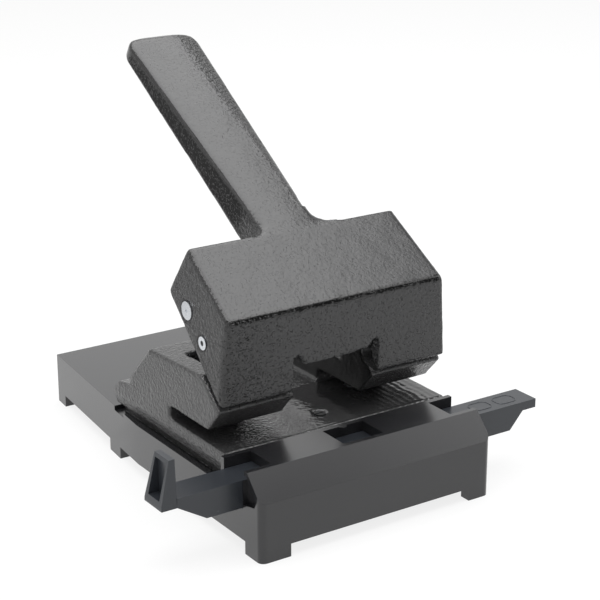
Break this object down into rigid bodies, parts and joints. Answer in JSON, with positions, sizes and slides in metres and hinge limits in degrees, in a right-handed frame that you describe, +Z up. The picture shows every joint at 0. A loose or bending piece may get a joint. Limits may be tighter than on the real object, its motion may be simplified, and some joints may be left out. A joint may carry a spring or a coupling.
{
  "type": "lever hole punch",
  "caption": "Heavy-duty lever hole punch: cast frame with a paper throat, broad cast lever with a long handle, black tray base with a sliding paper gauge.",
  "frame": {"origin": "middle of the overall box seen from above, on the plane that the feet stand on", "axes": "+Z up, +Y from the front panel towards the back of the tray, +X to the user's right"},
  "size_m": [0.216, 0.2268, 0.2025],
  "materials": {
    "plastic_black": "satin moulded plastic",
    "plastic_slate": "satin moulded plastic, slightly bluish",
    "cast_enamel": "semi-gloss hammer enamel over a casting",
    "steel_plain": "plain machined steel",
    "steel_zinc": "bright zinc plating",
    "spring_steel": "bright spring wire",
    "screw_black": "blackened screw",
    "bearing_bronze": "plain sintered bronze"
  },
  "bodies": {
    "base": {"base_tray": "plastic_black", "frame": "cast_enamel", "die_left": "steel_plain", "die_right": "steel_plain", "guide_bush_left": "steel_plain", "guide_bush_right": "steel_plain", "pivot_bush_left": "bearing_bronze", "pivot_bush_right": "bearing_bronze", "base_screws": "steel_zinc", "base_washers": "steel_zinc", "front_screw": "screw_black", "gauge_spring": "spring_steel", "spring_left": "spring_steel", "spring_right": "spring_steel"},
    "lever": {"lever": "cast_enamel", "pivot_pin": "steel_zinc", "pusher_shaft": "steel_zinc", "shaft_clips": "spring_steel"},
    "punch_set_left": {"punch_left": "steel_plain", "collar_left": "steel_zinc", "cross_pin_left": "steel_plain"},
    "punch_set_right": {"punch_right": "steel_plain", "collar_right": "steel_zinc", "cross_pin_right": "steel_plain"},
    "gauge": {"gauge_bar": "plastic_slate"},
    "cover": {"chip_cover": "plastic_black"}
  },
  "joints": [
    {"name": "lever_pivot", "type": "hinge", "parent": "base", "child": "lever", "pos_m": [0, -0.05747, 0.0885], "axis": [-1, 0, 0], "range_deg": [0, 33]},
    {"name": "punch_left_slide", "type": "slide", "parent": "base", "child": "punch_set_left", "axis": [0, 0, -1], "range_m": [0, 0.01025], "stiffness_N_per_m": 2000, "springref_m": -0.01, "deforming": ["spring_left"]},
    {"name": "punch_right_slide", "type": "slide", "parent": "base", "child": "punch_set_right", "axis": [0, 0, -1], "range_m": [0, 0.01025], "stiffness_N_per_m": 2000, "springref_m": -0.01, "deforming": ["spring_right"]},
    {"name": "gauge_slide", "type": "slide", "parent": "base", "child": "gauge", "axis": [1, 0, 0], "range_m": [-0.035, 0.045]},
    {"name": "chip_cover_slide", "type": "slide", "parent": "base", "child": "cover", "axis": [0, 1, 0], "range_m": [0, 0.15]}
  ],
  "couplings": [
    {"joint": "punch_left_slide", "follows": "lever_pivot", "m_per_rad": 0.017768},
    {"joint": "punch_right_slide", "follows": "lever_pivot", "m_per_rad": 0.017768}
  ]
}
